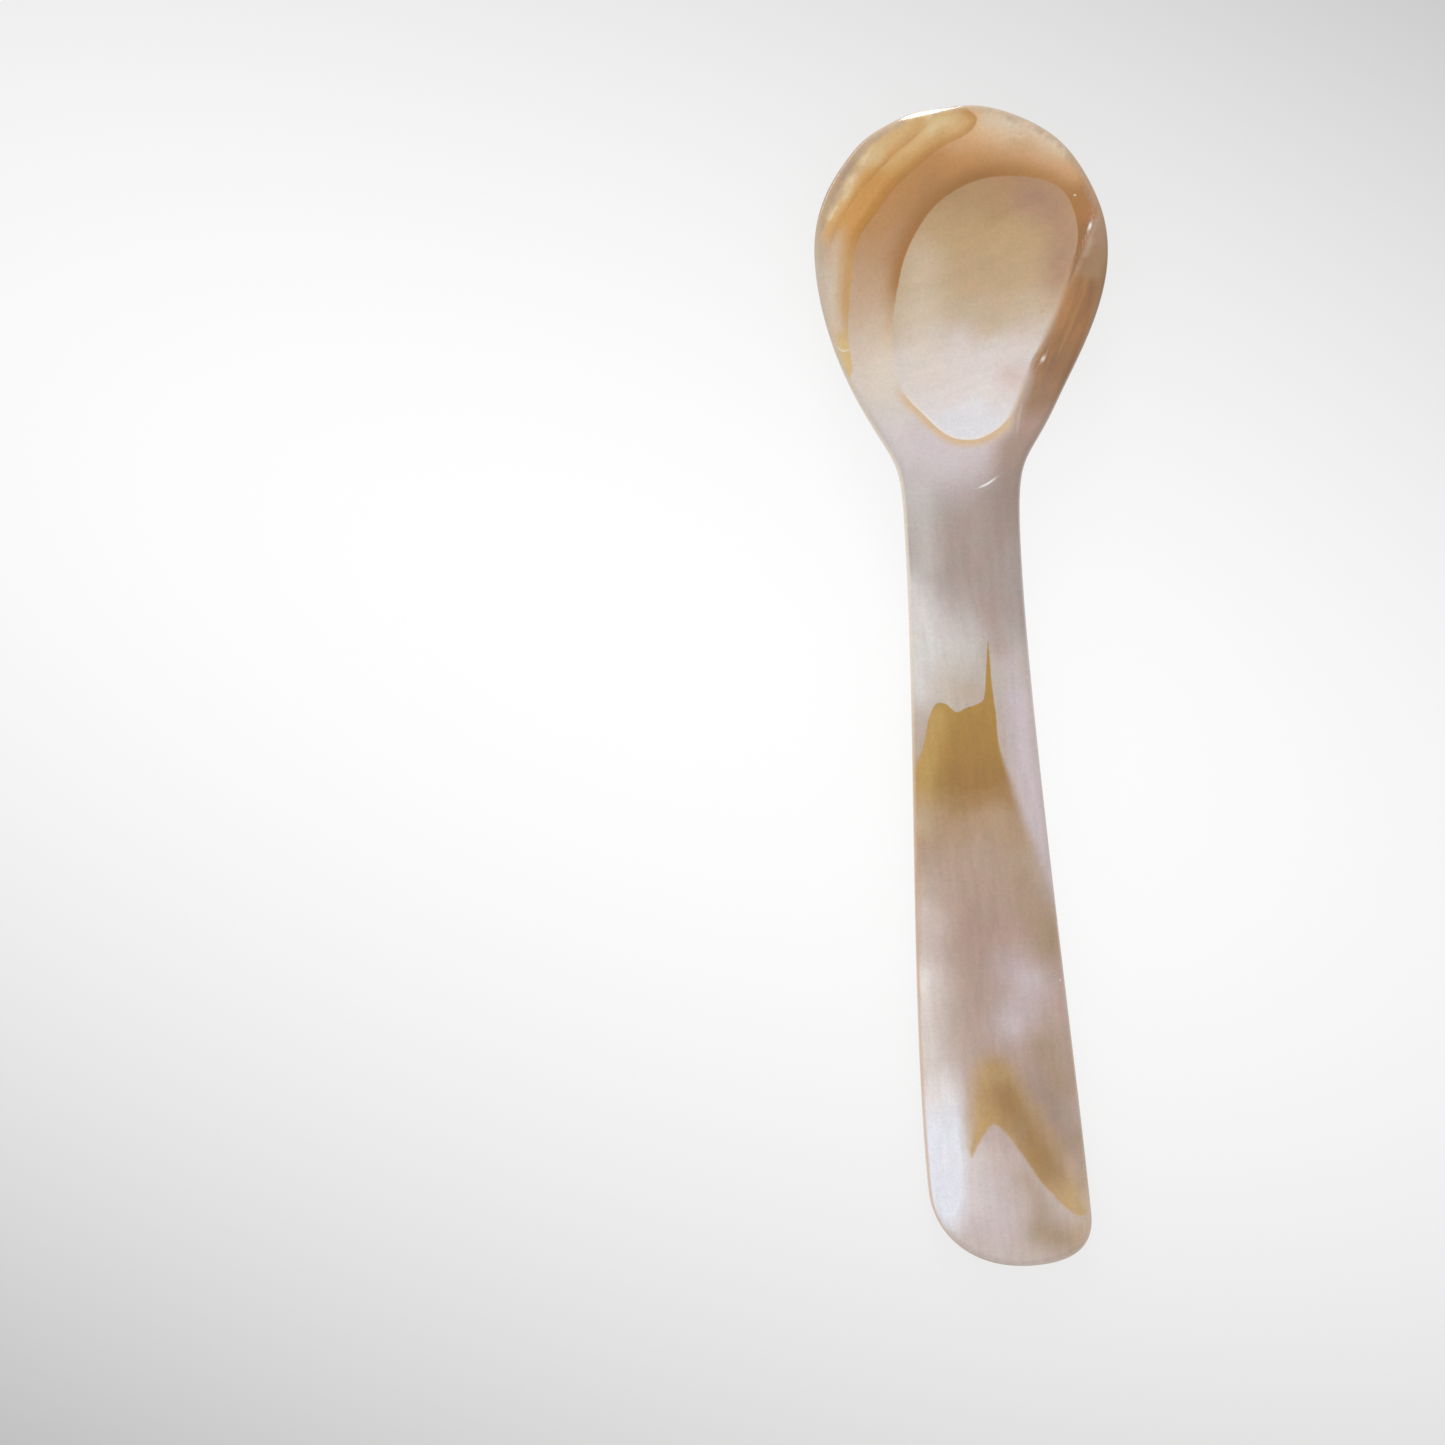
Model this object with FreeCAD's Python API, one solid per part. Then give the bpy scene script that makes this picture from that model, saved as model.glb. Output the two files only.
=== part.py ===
import FreeCAD, Part
import math
import os

# A spoon ground and polished in one piece out of thick shell: a round, shallow bowl whose
# flanks sweep in to a slim neck, and a flat blade of a handle that widens to a blunt end.
# It was cut by hand, so the handle wanders a little to one side and its corners differ.
# Millimetres. +Y runs to the tip of the bowl and +Z is up, with the hollow side up.
# The origin is under the middle of the spoon, on the surface it rests on.

# Plan, as seen from above. Distances from the tip, and from the flank's station to the
# neck's, run back along the spoon.
overall_length = 120.0
bowl_width = 30.0
flank_from_tip = 31.0
flank_width = 19.7
flank_shift = -0.9
flank_lean = 27.7
neck_from_flank = 15.0
neck_width = 11.75
neck_shift = -1.34
end_width = 16.8
end_shift = 0.44
handle_veer = 2.8
right_corner_height = 5.1
left_corner_height = 8.4
end_low_point = 2.0

# Fullness of the outline's curves: how far each runs straight on before it turns, as a
# share of the straight distance to the next point
shoulder_fullness = 0.35
flank_fullness_above = 0.3
flank_fullness_below = 0.48
neck_fullness = 0.69
handle_fullness = 0.28
corner_fullness = 0.39
right_end_fullness = 0.6
left_end_fullness = 0.43

# Side view
rim_height = 6.7
dish_depth = 4.9
dish_from_tip = 40.0
rim_thickness = 1.7
handle_edge = 2.3
handle_crown = 0.25
handle_belly = 0.45
arch_from_tip = 48.0
end_rest = 4.0
flat_sink = 0.15

# Edges: the round above and the bevel below, and the most of the rim's wall each may use
rim_round = 0.6
under_bevel = 0.5
rim_round_share = 0.62
under_bevel_share = 0.3

# Places along the spoon
tip_y = overall_length / 2
end_y = -overall_length / 2
bowl_radius = bowl_width / 2
bowl_y = tip_y - bowl_radius
flank_y = tip_y - flank_from_tip
neck_y = flank_y - neck_from_flank
dish_end_y = tip_y - dish_from_tip
arch_y = tip_y - arch_from_tip
rest_y = end_y + end_rest

# The handle falls until its underside meets the surface that the spoon lies on
end_drop = rim_height - handle_edge - handle_belly
belly_depth = rim_height - rim_thickness + flat_sink

# The plate that the outline is cut from overhangs it on every side
overhang = 2.0
station_step = 4.0
seam_tolerance = 0.01


def ease(start, stop, y):
    """0 at start and before it, 1 at stop and past it, half a cosine wave between."""
    share = min(max((y - start) / (stop - start), 0.0), 1.0)
    return (1.0 - math.cos(math.pi * share)) / 2.0


def glide(y, stations):
    """Value at y of the smooth line through stations, each a y, a value and a slope, in
    rising y: a cubic between neighbours, and level past either end."""
    for (low, low_value, low_slope), (high, high_value, high_slope) in zip(stations, stations[1:]):
        if y < high:
            break
    span = high - low
    share = min(max((y - low) / span, 0.0), 1.0)
    turn = share * share * (3.0 - 2.0 * share)
    pull_low = share * (1.0 - share) ** 2 * span * low_slope
    pull_high = share ** 2 * (share - 1.0) * span * high_slope
    return low_value + (high_value - low_value) * turn + pull_low + pull_high


def middle(y):
    """X of the spoon's own middle line, which wanders off centre along the handle."""
    return glide(y, [(end_y, end_shift, -math.tan(math.radians(handle_veer))),
                     (neck_y, neck_shift, 0.0),
                     (flank_y, flank_shift, 0.0),
                     (bowl_y, 0.0, 0.0)])


def half_width(y):
    """Half the width that a cross-section is drawn for; it stays full past the ends."""
    return glide(y, [(end_y, end_width / 2, 0.0),
                     (neck_y, neck_width / 2, 0.0),
                     (flank_y, flank_width / 2, math.tan(math.radians(flank_lean))),
                     (bowl_y, bowl_radius, 0.0)])


def hollowing(y):
    """Share of the full dish: a parabola to the tip, a slow ramp out into the neck."""
    if y >= bowl_y:
        return 1.0 - ((y - bowl_y) / bowl_radius) ** 2
    return ease(dish_end_y, bowl_y, y)


def bladeness(y):
    """0 where the section belongs to the bowl and 1 where it belongs to the handle."""
    return ease(bowl_y, dish_end_y, y)


def upper_edge(y):
    """Height of the spoon's upper edge: level round the bowl, then the handle's fall."""
    return rim_height - end_drop * ease(arch_y, rest_y, y)


def lower_edge(y):
    """Height of the lower edge, one wall below the upper one."""
    return upper_edge(y) - rim_thickness - (handle_edge - rim_thickness) * bladeness(y)


def top_sag(y):
    """How far the top lies below its edges in the middle; negative on the handle."""
    return dish_depth * hollowing(y) - handle_crown * bladeness(y)


def bottom_sag(y):
    """How far the underside bulges below its own edges in the middle."""
    return belly_depth * hollowing(y) + handle_belly * bladeness(y)


def section_curve(y, edge, sag):
    """A parabola across the spoon that passes the edge height at half the width and lies
    lower by the sag on the middle line, carried on by the overhang either side."""
    reach = half_width(y) + overhang
    rise = sag * (reach / half_width(y)) ** 2
    start = FreeCAD.Vector(middle(y) - reach, y, edge - sag + rise)
    pole = FreeCAD.Vector(middle(y), y, edge - sag - rise)
    finish = FreeCAD.Vector(middle(y) + reach, y, edge - sag + rise)
    curve = Part.BezierCurve()
    curve.setPoles([start, pole, finish])
    return curve.toShape()


def plate_section(y):
    """Closed section of the curved plate that the spoon is cut from."""
    top = section_curve(y, upper_edge(y), top_sag(y))
    bottom = section_curve(y, lower_edge(y), bottom_sag(y))
    right = Part.makeLine(top.Vertexes[1].Point, bottom.Vertexes[1].Point)
    left = Part.makeLine(bottom.Vertexes[0].Point, top.Vertexes[0].Point)
    return Part.Wire([top, right, bottom, left])


def curved_plate():
    """The plate: sections lofted from past the handle's end to past the bowl's tip."""
    span = overall_length + 2 * overhang
    count = math.ceil(span / station_step)
    stations = [end_y - overhang + span * step / count for step in range(count + 1)]
    return Part.makeLoft([plate_section(y) for y in stations], True, False)


def bend(start, start_way, start_fullness, finish, finish_way, finish_fullness):
    """One smooth edge that leaves start along its way and reaches finish along its own."""
    span = (finish - start).Length
    curve = Part.BezierCurve()
    curve.setPoles([start, start + start_way * span * start_fullness,
                    finish - finish_way * span * finish_fullness, finish])
    return curve.toShape()


def side_edges(side, corner_height, end_fullness):
    """Shoulder, neck sweep, handle side and end corner of one side, from bowl to end."""
    down = FreeCAD.Vector(0, -1, 0)
    lean = math.radians(flank_lean)
    veer = math.radians(handle_veer)
    flank_way = FreeCAD.Vector(-side * math.sin(lean), -math.cos(lean), 0)
    handle_way = FreeCAD.Vector(math.sin(veer), -math.cos(veer), 0)
    inward = FreeCAD.Vector(-side, 0, 0)
    widest = FreeCAD.Vector(side * bowl_radius, bowl_y, 0)
    flank = FreeCAD.Vector(flank_shift + side * flank_width / 2, flank_y, 0)
    neck = FreeCAD.Vector(neck_shift + side * neck_width / 2, neck_y, 0)
    corner = FreeCAD.Vector(end_shift + side * end_width / 2, end_y + corner_height, 0)
    lowest = FreeCAD.Vector(end_low_point, end_y, 0)
    return [
        bend(widest, down, shoulder_fullness, flank, flank_way, flank_fullness_above),
        bend(flank, flank_way, flank_fullness_below, neck, down, neck_fullness),
        bend(neck, down, handle_fullness, corner, handle_way, handle_fullness),
        bend(corner, handle_way, corner_fullness, lowest, inward, end_fullness),
    ]


def outline():
    """Closed plan of the spoon: a half circle round the tip and four bends each side."""
    right = FreeCAD.Vector(bowl_radius, bowl_y, 0)
    tip = FreeCAD.Vector(0, tip_y, 0)
    left = FreeCAD.Vector(-bowl_radius, bowl_y, 0)
    edges = [Part.Arc(left, tip, right).toShape()]
    edges += side_edges(1, right_corner_height, right_end_fullness)
    edges += side_edges(-1, left_corner_height, left_end_fullness)
    return Part.Wire(Part.__sortEdges__(edges))


def runs_along(edge):
    """True for an edge that goes somewhere in plan, so not for an upright seam."""
    ends = edge.Vertexes[0].Point - edge.Vertexes[-1].Point
    return math.hypot(ends.x, ends.y) > seam_tolerance


def rim_edges(body, upper):
    """Edges along the outline on the upper or the lower side of the body."""
    found = []
    for edge in filter(runs_along, body.Edges):
        place = edge.valueAt((edge.FirstParameter + edge.LastParameter) / 2)
        above = place.z > (upper_edge(place.y) + lower_edge(place.y)) / 2
        if above == upper:
            found.append(edge)
    return found


def upper_round():
    """Radius of the upper edge's round, held within the wall at the bowl's steep rim: it
    uses up its radius over the tangent of half the angle that the edge has there."""
    slope = math.atan(2 * dish_depth / bowl_radius)
    half_angle = (math.pi / 2 - slope) / 2
    return min(rim_round, rim_round_share * rim_thickness * math.tan(half_angle))


def lower_bevel():
    """Width of the bevel ground along the lower edge, held within the same wall."""
    return min(under_bevel, under_bevel_share * rim_thickness)


def spoon():
    """The plate cut to the outline, its edges eased and a small flat ground under it."""
    plan = Part.Face(outline())
    plan.translate(FreeCAD.Vector(0, 0, -overall_length))
    body = curved_plate().common(plan.extrude(FreeCAD.Vector(0, 0, 2 * overall_length)))
    body = body.makeFillet(upper_round(), rim_edges(body, True))
    body = body.makeChamfer(lower_bevel(), rim_edges(body, False))
    corner = FreeCAD.Vector(-bowl_radius, bowl_y - bowl_radius, -rim_height)
    ground = Part.makeBox(bowl_width, bowl_width, rim_height, corner)
    return body.cut(ground).Solids[0]


os.makedirs("parts", exist_ok=True)
piece = spoon()
print("spoon", piece.ShapeType, "valid", piece.isValid(), "faces", len(piece.Faces))
print("box", piece.optimalBoundingBox(), "volume", round(piece.Volume, 1))
piece.exportStep("parts/spoon.step")
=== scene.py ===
# %% [markdown]
# # A spoon of mother of pearl
# The object is a small egg spoon, ground and polished out of one thick piece of shell. Its
# beauty is the shell itself: growth layers that the grinding has cut across, so that ochre,
# cream, lilac and pearly white meet along sharp curved lines. The lesson rebuilds its form as
# one closed surface worked out with arrays, and then spends most of its care on the layers.

import math

import bpy
import numpy as np
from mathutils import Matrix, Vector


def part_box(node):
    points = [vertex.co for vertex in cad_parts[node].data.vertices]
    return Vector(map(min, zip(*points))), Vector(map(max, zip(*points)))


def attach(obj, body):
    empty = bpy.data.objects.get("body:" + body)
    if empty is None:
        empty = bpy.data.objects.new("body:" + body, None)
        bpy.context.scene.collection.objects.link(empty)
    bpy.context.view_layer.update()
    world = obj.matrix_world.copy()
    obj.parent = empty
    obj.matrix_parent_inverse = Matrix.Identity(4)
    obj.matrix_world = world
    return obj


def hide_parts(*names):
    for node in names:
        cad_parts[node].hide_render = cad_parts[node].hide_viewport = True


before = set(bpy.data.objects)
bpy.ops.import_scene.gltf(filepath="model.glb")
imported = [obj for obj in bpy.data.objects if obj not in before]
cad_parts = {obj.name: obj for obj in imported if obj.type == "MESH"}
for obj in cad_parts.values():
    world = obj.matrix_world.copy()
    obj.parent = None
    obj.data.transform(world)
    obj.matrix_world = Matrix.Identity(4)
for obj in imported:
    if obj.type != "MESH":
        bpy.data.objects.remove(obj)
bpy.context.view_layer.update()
MM = 0.001
low, high = (np.array(corner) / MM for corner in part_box("spoon"))
print("the spoon reaches from", low.round(2), "to", high.round(2), "millimetres")

# %% [markdown]
# ## The plan
# Seen from above, the outline is a half circle round the tip, and then four smooth bends down
# each side: shoulder, sweep into the neck, side of the handle, corner of the end. A cubic
# curve that leaves and arrives along given directions makes each bend, so neighbouring bends
# share a tangent and no corner shows. The half circle strays a little, because it was cut by
# hand. A drawn curve object could do this too, but arrays give both sides in step with each
# other, which the surface needs later.

# %% Sizes in plan, in millimetres
overall_length = high[1] - low[1]
bowl_radius = (high[0] - low[0]) / 2
tip_y = high[1]
end_y = low[1]
bowl_y = tip_y - bowl_radius
flank_y, flank_width, flank_shift, flank_lean = 29.0, 19.7, -0.9, math.radians(27.7)
neck_y, neck_width, neck_shift = 14.0, 11.75, -1.34
end_width, end_shift, handle_veer = 16.8, 0.44, math.radians(2.8)
right_corner_height, left_corner_height, end_low_point = 5.1, 8.4, 2.0
shoulder_fullness, flank_fullness, neck_fullness = 0.35, (0.3, 0.48), 0.69
handle_fullness, corner_fullness = 0.28, 0.39
right_end_fullness, left_end_fullness = 0.6, 0.43
arc_rows, shoulder_rows, sweep_rows, handle_rows, corner_rows = 96, 60, 52, 180, 42
tip_strays = ((44.0, 17.0, 0.42), (-4.0, 11.0, -0.3), (-38.0, 9.0, 0.2))
print("length", round(overall_length, 2), "bowl radius", round(bowl_radius, 2))


# %% One side of the outline
def bend(start, start_way, start_fullness, finish, finish_way, finish_fullness, rows):
    """Cubic curve from start to finish: the four corners of its frame are the two ends and
    a point along each end's direction, a share (the fullness) of the straight span away."""
    start, finish = np.array(start), np.array(finish)
    span = np.linalg.norm(finish - start)
    first = start + np.array(start_way) * span * start_fullness
    second = finish - np.array(finish_way) * span * finish_fullness
    t = np.linspace(0.0, 1.0, rows)[:, None]
    return ((1 - t) ** 3 * start + 3 * t * (1 - t) ** 2 * first
            + 3 * t ** 2 * (1 - t) * second + t ** 3 * finish)


def stray(lean):
    """How far the hand-cut edge strays out of the half circle, by the angle from the tip
    towards the right, in degrees: a sum of bell curves, each a middle, a spread, a height."""
    return sum(reach * np.exp(-((lean - centre) / spread) ** 2)
               for centre, spread, reach in tip_strays)


def outline_side(side, corner_height, end_fullness):
    """Plan points of one side (1 right, -1 left) from the tip to the end's lowest point."""
    angle = np.linspace(math.pi / 2, 0.0, arc_rows)
    radius = bowl_radius + stray(side * (90.0 - np.degrees(angle)))
    round_tip = np.stack([side * radius * np.cos(angle), bowl_y + radius * np.sin(angle)], axis=1)
    down, inward = (0.0, -1.0), (-side, 0.0)
    flank_way = (-side * math.sin(flank_lean), -math.cos(flank_lean))
    handle_way = (math.sin(handle_veer), -math.cos(handle_veer))
    widest = (side * bowl_radius, bowl_y)
    flank = (flank_shift + side * flank_width / 2, flank_y)
    neck = (neck_shift + side * neck_width / 2, neck_y)
    corner = (end_shift + side * end_width / 2, end_y + corner_height)
    lowest = (end_low_point, end_y)
    pieces = [
        round_tip,
        bend(widest, down, shoulder_fullness, flank, flank_way, flank_fullness[0], shoulder_rows),
        bend(flank, flank_way, flank_fullness[1], neck, down, neck_fullness, sweep_rows),
        bend(neck, down, handle_fullness, corner, handle_way, handle_fullness, handle_rows),
        bend(corner, handle_way, corner_fullness, lowest, inward, end_fullness, corner_rows)]
    return np.concatenate([piece[:-1] for piece in pieces] + [[lowest]])


def inward_ways(points, side):
    """Unit directions into the spoon, square to the outline at each of its points."""
    along = np.gradient(points, axis=0)
    along[0], along[-1] = (side, 0.0), (-side, 0.0)
    along /= np.linalg.norm(along, axis=1, keepdims=True)
    return side * np.stack([along[:, 1], -along[:, 0]], axis=1)


right_side = outline_side(1, right_corner_height, right_end_fullness)
left_side = outline_side(-1, left_corner_height, left_end_fullness)
right_way = inward_ways(right_side, 1)
left_way = inward_ways(left_side, -1)
print("outline has", len(right_side), "points a side")

# %% [markdown]
# ## The side view
# The dish is a parabola across the spoon. It's deepest in the bowl and runs out slowly
# into the neck, where a slight crown takes over. The rim is level where the bowl is as wide as
# its sections, and dips by about a millimetre on the diagonals, where it is narrower. The
# handle falls in one easy curve until its end touches the table. Every height is a formula of
# the place in plan, so the surface can be asked for at any point, also where a colour line
# has to lie. A lofted solid would give the same form, but no such answer.

# %% Sizes in height, in millimetres
rim_height, rim_thickness = 6.7, 1.7
dish_depth, dish_end_y, flat_sink = 4.9, 20.0, 0.15
handle_edge, handle_crown, handle_belly = 2.3, 0.25, 0.45
arch_y, rest_y = 12.0, -56.0
end_drop = rim_height - handle_edge - handle_belly
belly_depth = rim_height - rim_thickness + flat_sink
print("the handle falls", round(end_drop, 2), "and the belly is", round(belly_depth, 2), "deep")


# %% Heights of the upper side and the underside
def ease(start, stop, y):
    """0 at start, 1 at stop, half a cosine wave between and level beyond."""
    return (1.0 - np.cos(math.pi * np.clip((y - start) / (stop - start), 0.0, 1.0))) / 2.0


def glide(y, stations):
    """Smooth line through stations of y, value and slope: a cubic between neighbours."""
    result = np.full(np.shape(y), stations[0][1], float)
    for lower, upper in zip(stations, stations[1:]):
        (low_y, low_value, low_slope), (high_y, high_value, high_slope) = lower, upper
        span = high_y - low_y
        t = np.clip((y - low_y) / span, 0.0, 1.0)
        line = (low_value + (high_value - low_value) * t * t * (3.0 - 2.0 * t)
                + t * (1.0 - t) ** 2 * span * low_slope + t * t * (t - 1.0) * span * high_slope)
        result = np.where(y >= low_y, line, result)
    return result


def middle(y):
    """X of the spoon's own middle line, which wanders off centre along the handle."""
    return glide(y, [(end_y, end_shift, -math.tan(handle_veer)), (neck_y, neck_shift, 0.0),
                     (flank_y, flank_shift, 0.0), (bowl_y, 0.0, 0.0)])


def half_width(y):
    """Half the width that the cross-section is drawn for."""
    return glide(y, [(end_y, end_width / 2, 0.0), (neck_y, neck_width / 2, 0.0),
                     (flank_y, flank_width / 2, math.tan(flank_lean)), (bowl_y, bowl_radius, 0.0)])


def bladeness(y):
    """0 in the bowl and 1 on the handle."""
    return ease(bowl_y, dish_end_y, y)


def hollowing(y):
    """Share of the full dish: a parabola to the tip, a slow ramp out into the neck."""
    parabola = 1.0 - ((y - bowl_y) / bowl_radius) ** 2
    return np.where(y >= bowl_y, parabola, ease(dish_end_y, bowl_y, y))


def across_share(x, y):
    """How far from the middle line a place is, squared: 0 on the line and 1 at the edge."""
    return ((x - middle(y)) / half_width(y)) ** 2


def edge_height(y):
    """Height of the upper edge: level round the bowl, then the handle's fall."""
    return rim_height - end_drop * ease(arch_y, rest_y, y)


def top_height(x, y):
    """Upper side: the edge's height less the dish, or plus the crown, in the middle."""
    sag = dish_depth * hollowing(y) - handle_crown * bladeness(y)
    return edge_height(y) - sag * (1.0 - across_share(x, y))


def under_height(x, y):
    """Underside: a wall below the edge, bellied in the middle, and ground flat at 0."""
    wall = rim_thickness + (handle_edge - rim_thickness) * bladeness(y)
    sag = belly_depth * hollowing(y) + handle_belly * bladeness(y)
    return np.maximum(edge_height(y) - wall - sag * (1.0 - across_share(x, y)), 0.0)


print("dish floor at", float(top_height(0.0, bowl_y).round(2)), "above the table")

# %% [markdown]
# ## One closed surface
# A solid can be built from an outline with an extrude and a bevel, but the polished rim of the
# real spoon rolls over softly from one side to the other. So the whole skin is one grid: each
# row is a loop that starts over the spine, runs out to the right edge, rolls under, crosses
# the belly and comes back over the left edge. At the tip and at the end the loop is folded
# flat, and its two halves share their points, which closes the skin.

# %% Sizes of the grid and of the rolled edge
bowl_roll, handle_roll = 0.78, 0.95
roll_points, top_points, under_points = 12, 48, 24
fan_start_y, fan_end_y, fan_share = 45.0, -50.0, 0.3
polish_height = 0.022
flat_azimuth, flat_facing, flat_tilt = (math.radians(angle) for angle in (9.0, 17.0, 26.0))
flat_drop, flat_blend = 0.93, 0.02


# %% The loop's two halves
def spine():
    """Middle of the rows. Past the fan's start it goes only a share of the way on, straight
    towards the outermost point, so that the rows fan out to it and never cross."""
    points = (right_side + left_side) / 2
    for start_y, final in ((fan_start_y, right_side[0]), (fan_end_y, right_side[-1])):
        start_x = np.interp(start_y, points[::-1, 1], points[::-1, 0])
        start = np.array([start_x, start_y])
        share = np.clip((points[:, 1] - start_y) / (final[1] - start_y), 0.0, 1.0)[:, None]
        points = np.where(share > 0.0, start + fan_share * share * (final - start), points)
    return points


def polish(x, y):
    """Faint waves that hand polishing leaves: a sum of three crossed sine waves."""
    return polish_height * (np.sin(0.9 * x + 0.35 * y) + np.sin(0.31 * y - 0.6 * x + 1.0)
                            + 0.6 * np.sin(0.17 * y + 1.4 * x + 2.0)) / 2.6


def ground(x, y, height):
    """Height after a small flat is ground on the rim: a plane that passes a drop below the
    rim at an azimuth left of the tip and falls by a tilt towards its own facing. The lower
    of skin and plane is kept, with the corner eased: -b log(exp(-h/b) + exp(-p/b))."""
    foot_x = -bowl_radius * math.sin(flat_azimuth)
    foot_y = bowl_y + bowl_radius * math.cos(flat_azimuth)
    beyond = (y - foot_y) * math.cos(flat_facing) - (x - foot_x) * math.sin(flat_facing)
    plane = top_height(foot_x, foot_y) - flat_drop - math.tan(flat_tilt) * beyond
    return -flat_blend * np.logaddexp(-height / flat_blend, -plane / flat_blend)


def half_loop(edge, way):
    """From over the spine out to the edge, round it and back under the spine. On the rolled
    part a place inset by r(1 - cos a) is lowered by r(1 - sin a), a quarter of an ellipse."""
    roll = (bowl_roll + (handle_roll - bowl_roll) * bladeness(edge[:, 1]))[:, None]
    turn = np.linspace(0.0, math.pi / 2, roll_points)[None, :]
    inset, drop = roll * (1.0 - np.cos(turn)), roll * (1.0 - np.sin(turn))
    rim = edge[:, None, :] + way[:, None, :] * inset[:, :, None]
    top_share = np.linspace(1.0, 0.0, top_points)[None, :-1, None]
    under_share = np.linspace(0.0, 1.0, under_points)[None, 1:, None]
    foot, back = rim[:, -1][:, None, :], spine()[:, None, :]
    top_plan = np.concatenate([foot + (back - foot) * top_share, rim[:, ::-1]], axis=1)
    under_plan = np.concatenate([rim, foot + (back - foot) * under_share], axis=1)
    x, y = top_plan[..., 0], top_plan[..., 1]
    top = top_height(x, y) + polish(x, y)
    top[:, top_points - 1:] -= drop[:, ::-1]
    top = ground(x, y, top)
    under = under_height(under_plan[..., 0], under_plan[..., 1])
    under[:, :roll_points] += drop
    plan = np.concatenate([top_plan, under_plan], axis=1)
    inset = ((plan - edge[:, None, :]) * way[:, None, :]).sum(axis=-1)
    return np.dstack([plan, np.concatenate([top, under], axis=1), inset])


right_half = half_loop(right_side, right_way)
left_half = half_loop(left_side, left_way)
loops = np.concatenate([right_half, left_half[:, -2:0:-1]], axis=1)
rows, loop_points = loops.shape[:2]
print(rows, "rows of", loop_points, "points")


# %% Points and faces
def closed_faces():
    """Four corners a face, for a grid whose rows are closed loops. In the first and the
    last row the left half's numbers are replaced by the right half's."""
    number = np.arange(rows * loop_points).reshape(rows, loop_points)
    mirror = (loop_points - np.arange(loop_points)) % loop_points
    left = np.arange(loop_points) > loop_points // 2
    for row in (0, -1):
        number[row, left] = number[row, mirror[left]]
    beside = np.roll(number, -1, axis=1)
    return np.stack([number[:-1], number[1:], beside[1:], beside[:-1]], axis=-1).reshape(-1, 4)


faces = closed_faces()
kept, faces = np.unique(faces, return_inverse=True)
faces = faces.reshape(-1, 4)
spots, rim_inset = loops.reshape(-1, 4)[kept, :3], loops.reshape(-1, 4)[kept, 3]


def skin(name, spots, faces):
    """Mesh object at the origin from points in millimetres and four-cornered faces."""
    mesh = bpy.data.meshes.new(name)
    mesh.from_pydata(spots * MM, [], faces)
    mesh.polygons.foreach_set("use_smooth", np.ones(len(faces), bool))
    mesh.update()
    piece = bpy.data.objects.new(name, mesh)
    bpy.context.scene.collection.objects.link(piece)
    return piece


spoon = skin("shell_spoon", spots, faces)
print(len(spots), "points and", len(faces), "faces")

# %% [markdown]
# ## The camera
# The photograph was taken from straight above, a little to the left of this spoon. A camera
# at the same place gives the same slight view of the left edges. The same numbers also carry a
# point of the picture down onto the shell, which is how the colour lines find their place.

# %% Camera, and its sight lines
picture_width = 1445
lens, sensor = 50.0, 36.0
eye = np.array([-26.86, -1.88, 210.94])
eye_turn = math.radians(-3.0)
focal = lens / sensor * picture_width

camera_data = bpy.data.cameras.new("camera")
camera_data.lens = lens
camera_data.sensor_width = sensor
camera = bpy.data.objects.new("camera", camera_data)
camera.location = eye * MM
camera.rotation_euler = (0.0, 0.0, eye_turn)
bpy.context.scene.collection.objects.link(camera)
bpy.context.scene.camera = camera


def on_shell(pixels):
    """Plan places where the sight lines of picture points meet the upper side. Each step
    drops the line to the height found by the step before, which settles at once."""
    across, down = (np.asarray(pixels, float) - picture_width / 2).T / focal
    rightward = np.array([math.cos(eye_turn), math.sin(eye_turn)])
    upward = np.array([-math.sin(eye_turn), math.cos(eye_turn)])
    sight = across[:, None] * rightward - down[:, None] * upward
    height = np.zeros(len(sight))
    for _ in range(5):
        place = eye[:2] + (eye[2] - height)[:, None] * sight
        height = top_height(place[:, 0], place[:, 1])
    return place


pixel = (eye[2] - rim_height) / focal
print("one picture point is", round(pixel, 3), "mm wide on the rim")

# %% [markdown]
# ## Lines and patches of the shell
# Each growth layer ends in a line. A few points read from the picture are joined by a smooth
# curve, and every point of the skin is told how far it is from that curve, in millimetres, and
# on which side. A distance changes evenly from point to point, so the material can later cut
# it at zero and get an edge far sharper than the grid. Soft clouds of colour need no edge and
# are stored as densities. Layers lean as they go down through the shell, so on the sides and
# the underside the same lines come out a little further along. Glints, scratches and chips
# stay on the upper side. An image painted by hand is the other way, but a line kept as a
# distance can still be moved, softened or drawn thinner.

# %% Helpers for lines and patches
layer_lean = np.array([0.7, -1.1])
mark_depth, mark_reach, far_off = 1.0, 3.0, 9.0
depth = np.maximum(top_height(spots[:, 0], spots[:, 1]) - spots[:, 2], 0.0)
plan = (spots[:, :2] + depth[:, None] * layer_lean).astype(np.float32)
upper_side = depth < mark_depth


def smooth_line(pixels, closed=False, steps=8):
    """Curve through picture points, carried onto the shell: between two neighbours it is a
    cubic whose slope at each is half the step between the points either side of it."""
    points = on_shell(pixels)
    if closed:
        points = np.concatenate([points[-1:], points, points[:2]])
    else:
        points = np.concatenate([2 * points[:1] - points[1:2], points,
                                 2 * points[-1:] - points[-2:-1]])
    before, start, finish, after = points[:-3], points[1:-2], points[2:-1], points[3:]
    t = np.linspace(0.0, 1.0, steps, endpoint=False)[:, None, None]
    slope, swing = (finish - before) / 2, before - 2.5 * start + 2 * finish - after / 2
    turn = (3 * start - before - 3 * finish + after) / 2
    line = start + t * slope + t ** 2 * swing + t ** 3 * turn
    line = line.transpose(1, 0, 2).reshape(-1, 2)
    return line if closed else np.concatenate([line, points[-2:-1]])


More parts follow.
